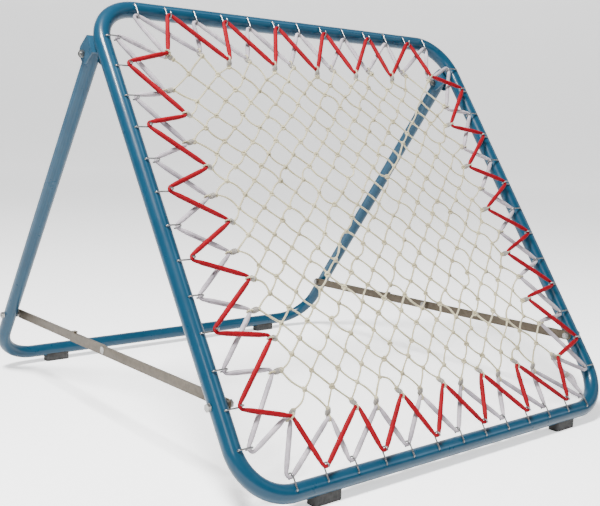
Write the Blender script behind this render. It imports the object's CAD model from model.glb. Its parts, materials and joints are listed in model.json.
import json
import math
import random

import bpy
import numpy as np
from mathutils import Matrix, Vector


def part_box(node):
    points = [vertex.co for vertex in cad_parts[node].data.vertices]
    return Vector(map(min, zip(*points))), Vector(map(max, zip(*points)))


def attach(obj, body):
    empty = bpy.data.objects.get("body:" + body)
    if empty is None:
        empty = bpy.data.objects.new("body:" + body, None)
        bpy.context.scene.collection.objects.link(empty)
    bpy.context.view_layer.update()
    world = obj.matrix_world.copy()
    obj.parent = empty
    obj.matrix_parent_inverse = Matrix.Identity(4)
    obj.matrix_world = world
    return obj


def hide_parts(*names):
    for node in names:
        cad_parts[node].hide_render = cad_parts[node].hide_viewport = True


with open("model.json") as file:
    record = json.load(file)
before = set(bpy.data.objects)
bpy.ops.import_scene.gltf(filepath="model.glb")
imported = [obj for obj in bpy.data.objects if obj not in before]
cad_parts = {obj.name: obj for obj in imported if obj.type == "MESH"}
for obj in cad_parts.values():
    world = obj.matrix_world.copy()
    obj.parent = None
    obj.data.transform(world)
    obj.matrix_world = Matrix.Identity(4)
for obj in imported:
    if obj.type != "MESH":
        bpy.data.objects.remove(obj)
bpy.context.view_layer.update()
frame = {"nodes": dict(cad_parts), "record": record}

# A folding rebound frame.  The tubes, hooks, stays, feet and fasteners are the CAD nodes
# with better materials; the knotted net and both elastic cords are built here.  Metres.

# ---- Sizes shared with the CAD model -------------------------------------------------------
TUBE_RADIUS = 0.016
HALF_SIDE = 0.484             # middle of the frame to the axis of its tube
HOOK_COUNT = 13
HOOK_PITCH = 0.0667
HOOK_REACH = 0.0235
CORD_BEND = 0.00645           # bend radius of a cord's axis round a hook or a net loop
# A cord's height in front of the frame's plane, its hooks' curl, its first hook, and how far
# out it holds its net loops at the start, middle and end of each side, walked anticlockwise.
RED = {"height": 0.0244, "curl": 0.0068, "first": 1,
       "reach": ((0.384, 0.378, 0.370), (0.364, 0.364, 0.370),
                 (0.366, 0.364, 0.374), (0.388, 0.368, 0.362))}
WHITE = {"height": 0.0124, "curl": 0.0066, "first": 0,
         "reach": ((0.388, 0.389, 0.390), (0.384, 0.389, 0.396),
                   (0.388, 0.380, 0.395), (0.404, 0.382, 0.374))}
NET_CORNER = 0.372
NET_LOOP_PITCH = 0.057
NET_HEIGHT = 0.0184

# ---- Sizes of the soft pieces --------------------------------------------------------------
CORD_RADIUS = 0.0046
CORD_PINCH = 0.72             # share of the cord's radius left where it is bent tight
TWINE_RADIUS = 0.00185
STEM_LENGTH = 0.015           # a cord's axis to the first knot of the net
KNOT_SIZE = 0.0048
KNOT_DRIFT = 0.0014           # how far a knot strays from its place at rest
BAR_BOW = 0.0030              # how far a bar of twine bows sideways, and then in height
BAR_LIFT = 0.0008
RELAX_PASSES = 500
RUN_STEPS = 14                # steps of a cord's path from one bend to the next
BEND_STEPS = 9                # steps round one bend
PINCH_FADE = 0.0085           # how far from a bend the cord stays pinched

low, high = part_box("front_frame_tube")
AXIS_Y = low[1] + TUBE_RADIUS
AXIS_Z = low[2] + TUBE_RADIUS
INCLINE = math.atan2(high[2] - low[2] - 2 * TUBE_RADIUS, high[1] - low[1] - 2 * TUBE_RADIUS)
UP_FRAME = Vector((0, math.cos(INCLINE), math.sin(INCLINE)))
OUT_FRAME = Vector((0, -math.sin(INCLINE), math.cos(INCLINE)))
FRAME_MIDDLE = Vector((0, AXIS_Y, AXIS_Z)) + UP_FRAME * HALF_SIDE
TO_WORLD = Matrix((
    (1, 0, 0, FRAME_MIDDLE.x),
    (0, UP_FRAME.y, OUT_FRAME.y, FRAME_MIDDLE.y),
    (0, UP_FRAME.z, OUT_FRAME.z, FRAME_MIDDLE.z),
    (0, 0, 0, 1)))

chance = random.Random(7)


# ---- Camera --------------------------------------------------------------------------------
def make_camera():
    """Stands low at the front left, looks a little down, and leans 2 degrees."""
    stand = (-1.2652, -1.5927, 0.6163)
    data = bpy.data.cameras.new("camera")
    data.sensor_width = 36.0
    data.lens = 53.7
    camera = bpy.data.objects.new("camera", data)
    bpy.context.collection.objects.link(camera)
    azimuth = math.radians(39.17)
    elevation = math.radians(-8.12)
    roll = math.radians(2.0)
    ahead = Vector((math.sin(azimuth) * math.cos(elevation),
                    math.cos(azimuth) * math.cos(elevation), math.sin(elevation)))
    side = ahead.cross(Vector((0, 0, 1))).normalized()
    up = side.cross(ahead)
    right = side * math.cos(roll) + up * math.sin(roll)
    up = right.cross(ahead)
    rotation = Matrix((right, up, -ahead)).transposed().to_4x4()
    camera.matrix_world = Matrix.Translation(stand) @ rotation
    bpy.context.scene.camera = camera


# ---- Materials -----------------------------------------------------------------------------
class Shader:
    """A Principled material and short calls that add nodes to it."""

    def __init__(self, name, roughness=0.5, metallic=0.0, **sockets):
        self.material = bpy.data.materials.new(name)
        self.material.use_nodes = True
        self.nodes = self.material.node_tree.nodes
        self.links = self.material.node_tree.links
        self.main = self.nodes["Principled BSDF"]
        self.main.inputs["Roughness"].default_value = roughness
        self.main.inputs["Metallic"].default_value = metallic
        for socket, value in sockets.items():
            self.main.inputs[socket.replace("_", " ")].default_value = value

    def add(self, kind, settings=None, **inputs):
        node = self.nodes.new(kind)
        for key, value in (settings or {}).items():
            setattr(node, key, value)
        for key, value in inputs.items():
            self.feed(node.inputs[key.replace("_", " ")], value)
        return node

    def feed(self, socket, value):
        if hasattr(value, "links"):
            self.links.new(value, socket)
        else:
            socket.default_value = value

    def where(self, scale=1.0, stretch=(1, 1, 1)):
        place = self.add("ShaderNodeTexCoord").outputs["Object"]
        mapping = self.add("ShaderNodeMapping", Vector=place)
        mapping.inputs["Scale"].default_value = [scale * s for s in stretch]
        return mapping.outputs["Vector"]

    def noise(self, scale, detail=4.0, vector=None, roughness=0.6):
        return self.add("ShaderNodeTexNoise", Vector=vector or self.where(), Scale=scale,
                        Detail=detail, Roughness=roughness).outputs["Fac"]

    def ramp(self, value, *stops):
        node = self.add("ShaderNodeValToRGB", Fac=value)
        elements = node.color_ramp.elements
        while len(elements) < len(stops):
            elements.new(0.5)
        for element, (place, color) in zip(elements, stops):
            element.position = place
            element.color = (*color, 1) if len(color) == 3 else color
        return node.outputs["Color"]

    def math(self, operation, a, b=0.0):
        node = self.add("ShaderNodeMath", {"operation": operation})
        self.feed(node.inputs[0], a)
        self.feed(node.inputs[1], b)
        return node.outputs[0]

    def mix(self, factor, a, b):
        node = self.add("ShaderNodeMix", {"data_type": "RGBA"})
        self.feed(node.inputs[0], factor)
        self.feed(node.inputs[6], a)
        self.feed(node.inputs[7], b)
        return node.outputs[2]

    def uv(self):
        split = self.add("ShaderNodeSeparateXYZ",
                         Vector=self.add("ShaderNodeUVMap", {"uv_map": "run"}).outputs["UV"])
        return split.outputs["X"], split.outputs["Y"]

    def color(self, value):
        self.feed(self.main.inputs["Base Color"], value)

    def rough(self, value):
        self.feed(self.main.inputs["Roughness"], value)

    def bump(self, height, strength, distance=0.001):
        node = self.add("ShaderNodeBump", Height=height, Strength=strength, Distance=distance)
        self.links.new(node.outputs["Normal"], self.main.inputs["Normal"])


def grey(value):
    return (value, value, value)


def blue_paint():
    s = Shader("blue_powder_coat", Coat_Weight=0.20, Coat_Roughness=0.05,
               Specular_IOR_Level=0.12)
    patches = s.noise(9.0, 3.0)
    base = s.ramp(patches, (0.3, (0.0034, 0.027, 0.052)), (0.75, (0.0050, 0.034, 0.062)))
    dust = s.ramp(s.noise(260.0, 5.0), (0.70, grey(0)), (0.86, grey(1)))
    worn = s.add("ShaderNodeNewGeometry").outputs["Pointiness"]
    edge = s.ramp(worn, (0.56, grey(0)), (0.64, grey(0.7)))
    base = s.mix(s.math("MULTIPLY", dust, 0.06), base, (0.03, 0.07, 0.12, 1))
    s.color(s.mix(s.math("MULTIPLY", edge, patches), base, (0.04, 0.09, 0.14, 1)))
    s.rough(s.ramp(s.noise(40.0, 6.0), (0.3, grey(0.26)), (0.8, grey(0.40))))
    s.bump(s.noise(520.0, 2.0), 0.07, 0.0006)
    return s.material


def zinc_strap():
    s = Shader("dull_zinc_strap", metallic=0.55)
    spangle = s.add("ShaderNodeTexVoronoi", Vector=s.where(), Scale=130.0).outputs["Color"]
    cloud = s.noise(14.0, 6.0)
    base = s.ramp(cloud, (0.3, (0.050, 0.036, 0.020)), (0.75, (0.085, 0.064, 0.038)))
    patches = s.ramp(spangle, (0.2, (0.042, 0.034, 0.024)), (0.8, (0.075, 0.062, 0.045)))
    s.color(s.mix(0.5, base, patches))
    streaks = s.noise(60.0, 5.0, s.where(1.0, (1, 0.08, 1)))
    s.rough(s.ramp(streaks, (0.3, grey(0.38)), (0.8, grey(0.62))))
    s.bump(streaks, 0.16, 0.0006)
    return s.material


def galvanised_wire():
    s = Shader("galvanised_wire", metallic=0.9)
    stain = s.noise(120.0, 5.0)
    s.color(s.ramp(stain, (0.3, (0.09, 0.088, 0.086)), (0.6, (0.21, 0.212, 0.215))))
    s.rough(s.ramp(s.noise(300.0, 4.0), (0.3, grey(0.22)), (0.8, grey(0.42))))
    s.bump(s.noise(900.0, 3.0), 0.15, 0.0003)
    return s.material


def zinc_fastener():
    s = Shader("zinc_fastener", metallic=0.95)
    s.color(s.ramp(s.noise(90.0, 5.0), (0.3, (0.15, 0.147, 0.14)), (0.7, (0.30, 0.30, 0.29))))
    turned = s.noise(420.0, 3.0, s.where(1.0, (4, 1, 1)))
    s.rough(s.ramp(turned, (0.3, grey(0.24)), (0.8, grey(0.45))))
    s.bump(turned, 0.2, 0.0003)
    return s.material


def foot_rubber():
    s = Shader("black_rubber", Specular_IOR_Level=0.35)
    s.color(s.ramp(s.noise(70.0, 6.0), (0.35, grey(0.009)), (0.8, (0.030, 0.029, 0.028))))
    s.rough(s.ramp(s.noise(160.0, 4.0), (0.3, grey(0.62)), (0.8, grey(0.88))))
    ribs = s.add("ShaderNodeTexWave", {"bands_direction": "X"}, Vector=s.where(), Scale=85.0,
                 Distortion=0.2).outputs["Fac"]
    s.bump(s.math("ADD", s.math("MULTIPLY", ribs, 0.7), s.noise(700.0, 3.0)), 0.35, 0.0006)
    return s.material


def moulded_plastic(name, dark, light):
    s = Shader(name)
    s.color(s.ramp(s.noise(50.0, 5.0), (0.3, dark), (0.8, light)))
    s.rough(s.ramp(s.noise(220.0, 3.0), (0.3, grey(0.42)), (0.8, grey(0.6))))
    s.bump(s.noise(1400.0, 2.0), 0.25, 0.0003)
    return s.material


def braid_height(s, around, along):
    """Two sets of strands that cross, from the distance along a cord and the turn round it."""
    run, turn = s.uv()
    strands = []
    for way in (1, -1):
        phase = s.math("ADD", s.math("MULTIPLY", run, along * 2 * math.pi),
                       s.math("MULTIPLY", turn, way * around * 2 * math.pi))
        strands.append(s.math("SINE", phase))
    return s.math("MULTIPLY", s.math("ADD", s.math("MULTIPLY", strands[0], strands[1]), 1), 0.5)


def braided_cord(name, shade, body, light, rough):
    s = Shader(name, Specular_IOR_Level=0.08)
    braid = braid_height(s, 6, 260)
    fuzz = s.noise(380.0, 5.0)
    worn = s.noise(22.0, 5.0)
    base = s.mix(s.ramp(worn, (0.35, grey(0)), (0.75, grey(1))), (*body, 1), (*light, 1))
    gaps = s.ramp(braid, (0.05, grey(1)), (0.42, grey(0)))
    s.color(s.mix(s.math("MULTIPLY", gaps, 0.75), base, (*shade, 1)))
    s.rough(s.ramp(fuzz, (0.3, grey(rough - 0.1)), (0.8, grey(rough + 0.15))))
    s.bump(s.math("ADD", braid, s.math("MULTIPLY", fuzz, 0.4)), 0.6, 0.0008)
    return s.material


def twisted_twine(name, shade, body, light):
    s = Shader(name, Sheen_Weight=0.3, Sheen_Roughness=0.6)
    run, turn = s.uv()
    phase = s.math("ADD", s.math("MULTIPLY", run, 240 * 2 * math.pi),
                   s.math("MULTIPLY", turn, 2 * 2 * math.pi))
    plies = s.math("MULTIPLY", s.math("ADD", s.math("SINE", phase), 1), 0.5)
    stain = s.noise(16.0, 6.0)
    base = s.mix(s.ramp(stain, (0.35, grey(0)), (0.7, grey(1))), (*body, 1), (*light, 1))
    gaps = s.ramp(plies, (0.0, grey(1)), (0.35, grey(0)))
    s.color(s.mix(s.math("MULTIPLY", gaps, 0.6), base, (*shade, 1)))
    s.rough(s.ramp(s.noise(300.0, 4.0), (0.3, grey(0.62)), (0.8, grey(0.86))))
    s.bump(s.math("ADD", plies, s.math("MULTIPLY", s.noise(1100.0, 4.0), 0.5)), 0.55, 0.0007)
    return s.material


def floor_paint():
    s = Shader("pale_floor", roughness=0.6)
    s.color(s.ramp(s.noise(3.0, 3.0), (0.3, grey(0.90)), (0.8, grey(0.93))))
    s.main.inputs["Emission Color"].default_value = (1, 1, 1, 1)
    s.main.inputs["Emission Strength"].default_value = 0.85
    return s.material


# ---- Mesh code -----------------------------------------------------------------------------
def tubes(name, paths, sides, material):
    """One mesh of round tubes.  A path is (points, radii, reference, closed); the reference
    is a direction off the path that the tube's cross-section is laid out from.  The UV map
    holds the metres along the tube and the turn round it."""
    vertices = []
    faces = []
    uvs = []
    for points, radii, reference, closed in paths:
        points = np.asarray(points, float)
        count = len(points)
        if closed:
            tangent = np.roll(points, -1, 0) - np.roll(points, 1, 0)
        else:
            tangent = np.gradient(points, axis=0)
        tangent /= np.linalg.norm(tangent, axis=1)[:, None]
        first = np.cross(tangent, np.asarray(reference, float))
        first /= np.linalg.norm(first, axis=1)[:, None]
        second = np.cross(tangent, first)
        steps = np.linalg.norm(np.diff(points, axis=0, append=points[:1]), axis=1)
        run = np.concatenate(([0.0], np.cumsum(steps)))
        base = len(vertices)
        for side in range(sides):
            angle = 2 * math.pi * side / sides
            ring = (first * math.cos(angle) + second * math.sin(angle))
            ring = points + ring * np.asarray(radii, float)[:, None]
            vertices.extend(ring.tolist())
        for k in range(count if closed else count - 1):
            after = (k + 1) % count
            for side in range(sides):
                other = (side + 1) % sides
                faces.append((base + side * count + k, base + other * count + k,
                              base + other * count + after, base + side * count + after))
                uvs.extend(((run[k], side / sides), (run[k], (side + 1) / sides),
                            (run[k + 1], (side + 1) / sides), (run[k + 1], side / sides)))
        if not closed:
            for k in (0, count - 1):
                cap = [base + side * count + k for side in range(sides)]
                faces.append(tuple(cap[::-1] if k else cap))
                uvs.extend([(run[k], 0.5)] * sides)
    mesh = bpy.data.meshes.new(name)
    mesh.from_pydata(vertices, [], faces)
    layer = mesh.uv_layers.new(name="run")
    layer.data.foreach_set("uv", np.asarray(uvs, float).ravel())
    mesh.polygons.foreach_set("use_smooth", [True] * len(mesh.polygons))
    mesh.transform(TO_WORLD)
    mesh.validate()
    mesh.update()
    piece = bpy.data.objects.new(name, mesh)
    bpy.context.collection.objects.link(piece)
    mesh.materials.append(material)
    return piece


def side_turn(side, along, across):
    """Turn a point of the bottom side (along it, out from the middle) to side 0 to 3."""
    angle = side * math.pi / 2
    return (along * math.cos(angle) + across * math.sin(angle),
            along * math.sin(angle) - across * math.cos(angle))


# ---- Elastic cords -------------------------------------------------------------------------
def reach_at(cord, side, index):
    """How far out the cord holds a net loop, read between the side's three values."""
    start, middle, end = cord["reach"][side]
    share = 2 * index / (HOOK_COUNT - 1)
    if share < 1:
        return start + (middle - start) * share
    return middle + (end - middle) * (share - 1)


def cord_pulleys(cord):
    """Hooks (left turns) and net loops (right turns) that the cord passes in turn."""
    first = cord["first"]
    last = HOOK_COUNT - 1
    across = HALF_SIDE - HOOK_REACH - cord["curl"]
    pulleys = []
    for side in range(4):
        pulleys.append((*side_turn(side, -NET_CORNER, NET_CORNER), -CORD_BEND))
        for index in range(first, last - first + 1, 2):
            along = (index - last / 2) * HOOK_PITCH
            pulleys.append((*side_turn(side, along, across), CORD_BEND))
            if index + 1 <= last - first:
                along = (index + 1 - last / 2) * NET_LOOP_PITCH
                reach = reach_at(cord, side, index + 1)
                pulleys.append((*side_turn(side, along, reach), -CORD_BEND))
    return pulleys


def belt_points(pulleys, height):
    """Points round the pulleys, with each point's tightness: 1 on a bend, 0 mid run."""
    headings = []
    starts = []
    ends = []
    for index, first in enumerate(pulleys):
        second = pulleys[(index + 1) % len(pulleys)]
        dx = second[0] - first[0]
        dy = second[1] - first[1]
        heading = math.atan2(dy, dx) - math.asin((second[2] - first[2]) / math.hypot(dx, dy))
        left = np.array((-math.sin(heading), math.cos(heading)))
        headings.append(heading)
        starts.append(np.array(first[:2]) - left * first[2])
        ends.append(np.array(second[:2]) - left * second[2])
    points = []
    tightness = []
    for index in range(len(pulleys)):
        length = np.linalg.norm(ends[index] - starts[index])
        for k in range(1, RUN_STEPS):
            share = k / RUN_STEPS
            points.append(starts[index] * (1 - share) + ends[index] * share)
            to_bend = min(share, 1 - share) * length
            tightness.append(math.exp(-(to_bend / PINCH_FADE) ** 2))
        x, y, radius = pulleys[(index + 1) % len(pulleys)]
        following = headings[(index + 1) % len(pulleys)]
        turn = (following - headings[index] + math.pi) % (2 * math.pi) - math.pi
        for k in range(BEND_STEPS + 1):
            heading = headings[index] + turn * k / BEND_STEPS
            left = np.array((-math.sin(heading), math.cos(heading)))
            points.append(np.array((x, y)) - left * radius)
            tightness.append(1.0)
    points = np.column_stack((np.array(points), np.full(len(points), height)))
    return points, np.array(tightness)


def make_cord(name, node, cord, material):
    """One closed cord, pinched on its bends and a little uneven along its length."""
    points, tightness = belt_points(cord_pulleys(cord), cord["height"])
    uneven = np.array([chance.uniform(-0.05, 0.05) for _ in points])
    uneven = np.convolve(np.concatenate((uneven[-4:], uneven, uneven[:4])), np.ones(9) / 3,
                         "valid")
    radii = CORD_RADIUS * (1 - (1 - CORD_PINCH) * tightness) * (1 + uneven * 0.8)
    piece = tubes(name, [(points, radii, (0, 0, 1), True)], 14, material)
    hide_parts(node)
    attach(piece, "front_frame")


def make_cord_tie(braid, twine):
    """The white cord's join: past the bottom side's last hook, its loose end lies along the
    run to the corner, and a whipping holds the two together."""
    points, _ = belt_points(cord_pulleys(WHITE), WHITE["height"])
    first = HOOK_COUNT * (RUN_STEPS + BEND_STEPS)
    start = points[first]
    end = points[first + RUN_STEPS - 2]
    length = np.linalg.norm(end - start)
    along = (end - start) / length
    up = np.array((0, 0, 1))
    side = np.cross(along, up)
    tail_from = 0.010
    tie_from = 0.52 * length
    tie_length = 0.009
    tail_length = tie_from + tie_length - 0.008
    tail_steps = 10
    tail = []
    radii = []
    for k in range(tail_steps + 1):
        share = k / tail_steps
        bulge = math.sin(math.pi * share)
        tail.append(start + along * (tail_from + share * tail_length)
                    + side * CORD_RADIUS * (0.5 + 1.1 * bulge) + up * CORD_RADIUS * 0.5 * bulge)
        radii.append(CORD_RADIUS * (CORD_PINCH + 0.3 * bulge))
    turns = 4
    turn_steps = 16
    wrap = []
    for k in range(turn_steps * turns + 1):
        angle = 2 * math.pi * k / turn_steps
        centre = start + along * (tie_from + tie_length * k / (turn_steps * turns))
        wrap.append(centre + side * CORD_RADIUS * (0.35 + 1.35 * math.cos(angle))
                    + up * CORD_RADIUS * 1.15 * math.sin(angle))
    strand = tubes("white_cord_tail", [(tail, radii, up, False)], 12, braid)
    wrap_path = (wrap, [TWINE_RADIUS * 0.75] * len(wrap), (*along[:2], 0.03), False)
    whipping = tubes("white_cord_whipping", [wrap_path], 8, twine)
    for piece in (strand, whipping):
        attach(piece, "front_frame")


# ---- Knotted net ---------------------------------------------------------------------------
def net_loops():
    """Each edge loop: lattice column and row, height of its cord, the cord's apex, the way
    inward, and whether it is a corner's, which holds both cords."""
    last = HOOK_COUNT - 1
    loops = []
    for side in range(4):
        for index in range(last):
            if index == 0:
                inward = np.array(side_turn(side, 1, -1)) / math.sqrt(2)
                middle = np.array(side_turn(side, -NET_CORNER, NET_CORNER))
            else:
                inward = np.array(side_turn(side, 0, -1))
                along = (index - last / 2) * NET_LOOP_PITCH
                cord = (RED, WHITE)[index % 2]
                middle = np.array(side_turn(side, along, reach_at(cord, side, index)))
            column, row = side_turn(side, index - last / 2, last / 2)
            lattice = (round(2 * column) + last, round(2 * row) + last)
            height = (RED, WHITE)[index % 2]["height"]
            loops.append((lattice, height, middle + inward * CORD_BEND, inward, index == 0))
    return loops


def relaxed_knots(loops):
    """Every knot stands at the average of its neighbours, held by the edge loops."""
    size = 2 * (HOOK_COUNT - 1) + 1
    place = np.zeros((size, size, 2))
    steps = (np.arange(size) - (size - 1) / 2) / ((size - 1) / 2)
    place[..., 0] = steps[:, None] * NET_CORNER
    place[..., 1] = steps[None, :] * NET_CORNER
    fixed = np.zeros((size, size), bool)
    for (i, j), _, apex, inward, _ in loops:
        place[i, j] = apex + inward * STEM_LENGTH
        fixed[i, j] = True
    used = (np.add.outer(np.arange(size), np.arange(size)) % 2) == 0
    inner = used & ~fixed
    inner[0, :] = inner[-1, :] = inner[:, 0] = inner[:, -1] = False
    for _ in range(RELAX_PASSES):
        average = np.zeros_like(place)
        for di, dj in ((1, 1), (1, -1), (-1, 1), (-1, -1)):
            average += np.roll(place, (di, dj), (0, 1))
        place[inner] = average[inner] / 4
    for i in range(size):
        for j in range(size):
            if inner[i, j]:
                place[i, j] += (chance.gauss(0, KNOT_DRIFT), chance.gauss(0, KNOT_DRIFT))
    return place, used


def bar_path(a, b):
    """A bar of twine from knot to knot, a little bowed."""
    a = np.append(a, NET_HEIGHT)
    b = np.append(b, NET_HEIGHT)
    across = np.cross(b - a, (0, 0, 1))
    bow = across / np.linalg.norm(across) * chance.gauss(0, BAR_BOW)
    lift = np.array((0, 0, chance.gauss(0, BAR_LIFT)))
    shares = np.linspace(0, 1, 9)
    points = [a * (1 - u) + b * u + (bow + lift) * math.sin(math.pi * u) for u in shares]
    radius = TWINE_RADIUS * chance.uniform(0.9, 1.1)
    radii = [radius * (1 + 0.06 * math.sin(9 * u + radius * 1e5)) for u in shares]
    return points, radii, (0.02, 0.03, 1), False


def knot_paths(middle, heading, scale):
    """A weaver's knot: a loop of twine with a second strand that wraps its neck."""
    def placed(u, v, w):
        x = middle[0] + u * math.cos(heading) - v * math.sin(heading)
        y = middle[1] + u * math.sin(heading) + v * math.cos(heading)
        return (x, y, NET_HEIGHT + w)
    loop = []
    wrap = []
    size = KNOT_SIZE * scale
    steps = 14
    for k in range(steps):
        angle = 2 * math.pi * k / steps
        loop.append(placed(size * 0.80 * math.cos(angle), size * 0.62 * math.sin(angle),
                           size * 0.30 * math.sin(2 * angle)))
        wrap.append(placed(size * 0.25 * math.cos(angle) - size * 0.2,
                           size * 0.78 * math.sin(angle), size * 0.62 * math.cos(angle)))
    thick = TWINE_RADIUS * 1.02 * scale
    return [(loop, [thick] * steps, (0.05, 0.02, 1), True),
            (wrap, [thick * 0.95] * steps, (math.cos(heading), math.sin(heading), 0.05), True)]


def stem_paths(height, apex, inward, knot, corner):
    """The loop of twine round a cord, its two legs, and the whipping round both legs."""
    heights = (RED["height"], WHITE["height"]) if corner else (height,)
    side = np.array((-inward[1], inward[0]))
    ring_radius = CORD_RADIUS * CORD_PINCH + TWINE_RADIUS * 1.05
    ring_steps = 18
    leg_steps = 7
    leg_spread = 0.0011
    legs = []
    for level in heights:
        ring = []
        for k in range(ring_steps):
            angle = 2 * math.pi * k / ring_steps
            xy = apex + inward * ring_radius * math.cos(angle)
            ring.append((*xy, level + ring_radius * math.sin(angle)))
        legs.append((ring, [TWINE_RADIUS * 0.9] * ring_steps, (*side, 0.01), True))
        start = np.append(apex + inward * ring_radius, level)
        end = np.append(knot, NET_HEIGHT)
        for way in (-1, 1):
            bulge = np.append(side * way * leg_spread, 0)
            shares = np.linspace(0, 1, leg_steps)
            points = [start * (1 - u) + end * u + bulge * math.sin(math.pi * u) for u in shares]
            legs.append((points, [TWINE_RADIUS * 0.85] * leg_steps, (0.02, 0.01, 1), False))
    turns = 4
    steps = 12 * turns
    slim = 0.0032
    swell = 0.0013
    start = np.append(apex + inward * 0.0052, sum(heights) / len(heights))
    end = np.append(knot - inward * 0.0012, NET_HEIGHT)
    wrap = []
    for k in range(steps + 1):
        share = k / steps
        angle = 2 * math.pi * turns * share
        radius = slim + swell * math.sin(math.pi * share)
        centre = start * (1 - share) + end * share
        offset = side * radius * math.cos(angle)
        wrap.append((centre[0] + offset[0], centre[1] + offset[1],
                     centre[2] + radius * math.sin(angle)))
    whipping = (wrap, [TWINE_RADIUS * 0.85] * len(wrap), (*inward, 0.03), False)
    return legs, whipping


def make_net(twine, whipping_twine):
    """Bars and knots on a diagonal lattice, and a stem from each edge knot to its cord."""
    loops = net_loops()
    place, used = relaxed_knots(loops)
    size = len(place)
    bars = []
    knots = []
    for i in range(size):
        for j in range(size):
            if not used[i, j]:
                continue
            for dj in (1, -1):
                if i + 1 < size and 0 <= j + dj < size:
                    bars.append(bar_path(place[i, j], place[i + 1, j + dj]))
            heading = chance.choice((0.25, 0.75)) * math.pi + chance.gauss(0, 0.25)
            scale = chance.uniform(0.88, 1.15)
            knots.extend(knot_paths(place[i, j], heading, scale))
    legs = []
    whippings = []
    for (i, j), height, apex, inward, corner in loops:
        more, whipping = stem_paths(height, apex, inward, place[i, j], corner)
        legs.extend(more)
        whippings.append(whipping)
    net = tubes("knotted_net", bars + knots + legs, 8, twine)
    wraps = tubes("net_whippings", whippings, 8, whipping_twine)
    for piece in (net, wraps):
        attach(piece, "front_frame")
    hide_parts("net")


# ---- Finish of the CAD nodes ---------------------------------------------------------------
def paint_nodes():
    """Each CAD node gets the material of its slot, and the feet get soft edges."""
    finishes = {
        "blue_paint": blue_paint(),
        "stay_zinc": zinc_strap(),
        "hook_wire": galvanised_wire(),
        "bright_steel": zinc_fastener(),
        "foot_rubber": foot_rubber(),
        "black_plastic": moulded_plastic("black_plastic", grey(0.010), grey(0.030)),
        "bush": moulded_plastic("natural_bush", (0.42, 0.42, 0.38), (0.58, 0.57, 0.52)),
    }
    slots = {part["node"]: part["material_slot"] for part in frame["record"]["subparts"]}
    for node, thing in frame["nodes"].items():
        material = finishes.get(slots[node])
        if material is None:
            continue
        thing.data.materials.clear()
        thing.data.materials.append(material)
        for polygon in thing.data.polygons:
            polygon.material_index = 0
    for node in ("front_foot_left", "front_foot_right", "rear_foot_left", "rear_foot_right"):
        bevel = frame["nodes"][node].modifiers.new("soft_edges", "BEVEL")
        bevel.width = 0.0012
        bevel.segments = 2
        bevel.limit_method = "ANGLE"


# ---- Studio --------------------------------------------------------------------------------
def make_studio():
    """A pale floor that curves up into a backdrop, and four soft lights."""
    floor_front = -9.0
    floor_back = 9.0
    half_width = 14.0
    wall_top = 9.0
    curve = 3.0
    curve_steps = 16
    view_turn = -39.0
    profile = [(floor_front, 0.0)]
    for k in range(curve_steps + 1):
        angle = math.pi / 2 * k / curve_steps
        profile.append((floor_back + curve * math.sin(angle), curve * (1 - math.cos(angle))))
    profile.append((floor_back + curve, wall_top))
    vertices = [(x, y, z) for y, z in profile for x in (-half_width, half_width)]
    faces = [(2 * k, 2 * k + 1, 2 * k + 3, 2 * k + 2) for k in range(len(profile) - 1)]
    mesh = bpy.data.meshes.new("studio_floor")
    mesh.from_pydata(vertices, [], faces)
    mesh.polygons.foreach_set("use_smooth", [True] * len(faces))
    floor = bpy.data.objects.new("studio_floor", mesh)
    floor.rotation_euler.z = math.radians(view_turn)
    bpy.context.collection.objects.link(floor)
    mesh.materials.append(floor_paint())
    world = bpy.data.worlds.new("studio")
    bpy.context.scene.world = world
    world.use_nodes = True
    sky = world.node_tree.nodes["Background"].inputs
    sky["Color"].default_value = (0.97, 0.98, 1.0, 1)
    sky["Strength"].default_value = 0.30
    for name, place, width, power in (
            ("key", (-1.8, -2.2, 1.9), 0.9, 25.0),
            ("top", (-1.5, -0.7, 3.4), 0.8, 480.0),
            ("fill", (2.8, -2.4, 2.2), 2.0, 15.0),
            ("rim", (1.2, 3.2, 2.8), 1.4, 14.0)):
        data = bpy.data.lights.new(name, "AREA")
        data.size = width
        data.energy = power
        light = bpy.data.objects.new(name, data)
        light.location = place
        aim = FRAME_MIDDLE - Vector(place)
        light.rotation_euler = aim.to_track_quat("-Z", "Y").to_euler()
        bpy.context.collection.objects.link(light)


make_camera()
paint_nodes()
red_braid = braided_cord("red_braid", (0.040, 0.0001, 0.0004), (0.155, 0.0001, 0.0040),
                         (0.225, 0.0003, 0.0070), 0.5)
make_cord("red_cord", "red_elastic_cord", RED, red_braid)
white_braid = braided_cord("white_braid", (0.045, 0.038, 0.045), (0.21, 0.188, 0.210),
                           (0.48, 0.44, 0.47), 0.55)
make_cord("white_cord", "white_elastic_cord", WHITE, white_braid)
cream_twine = twisted_twine("cream_twine", (0.055, 0.044, 0.018), (0.24, 0.205, 0.110),
                            (0.42, 0.38, 0.235))
grey_twine = twisted_twine("grey_twine", (0.030, 0.026, 0.020), (0.11, 0.098, 0.080),
                           (0.22, 0.20, 0.17))
make_net(cream_twine, grey_twine)
make_cord_tie(white_braid, grey_twine)
make_studio()
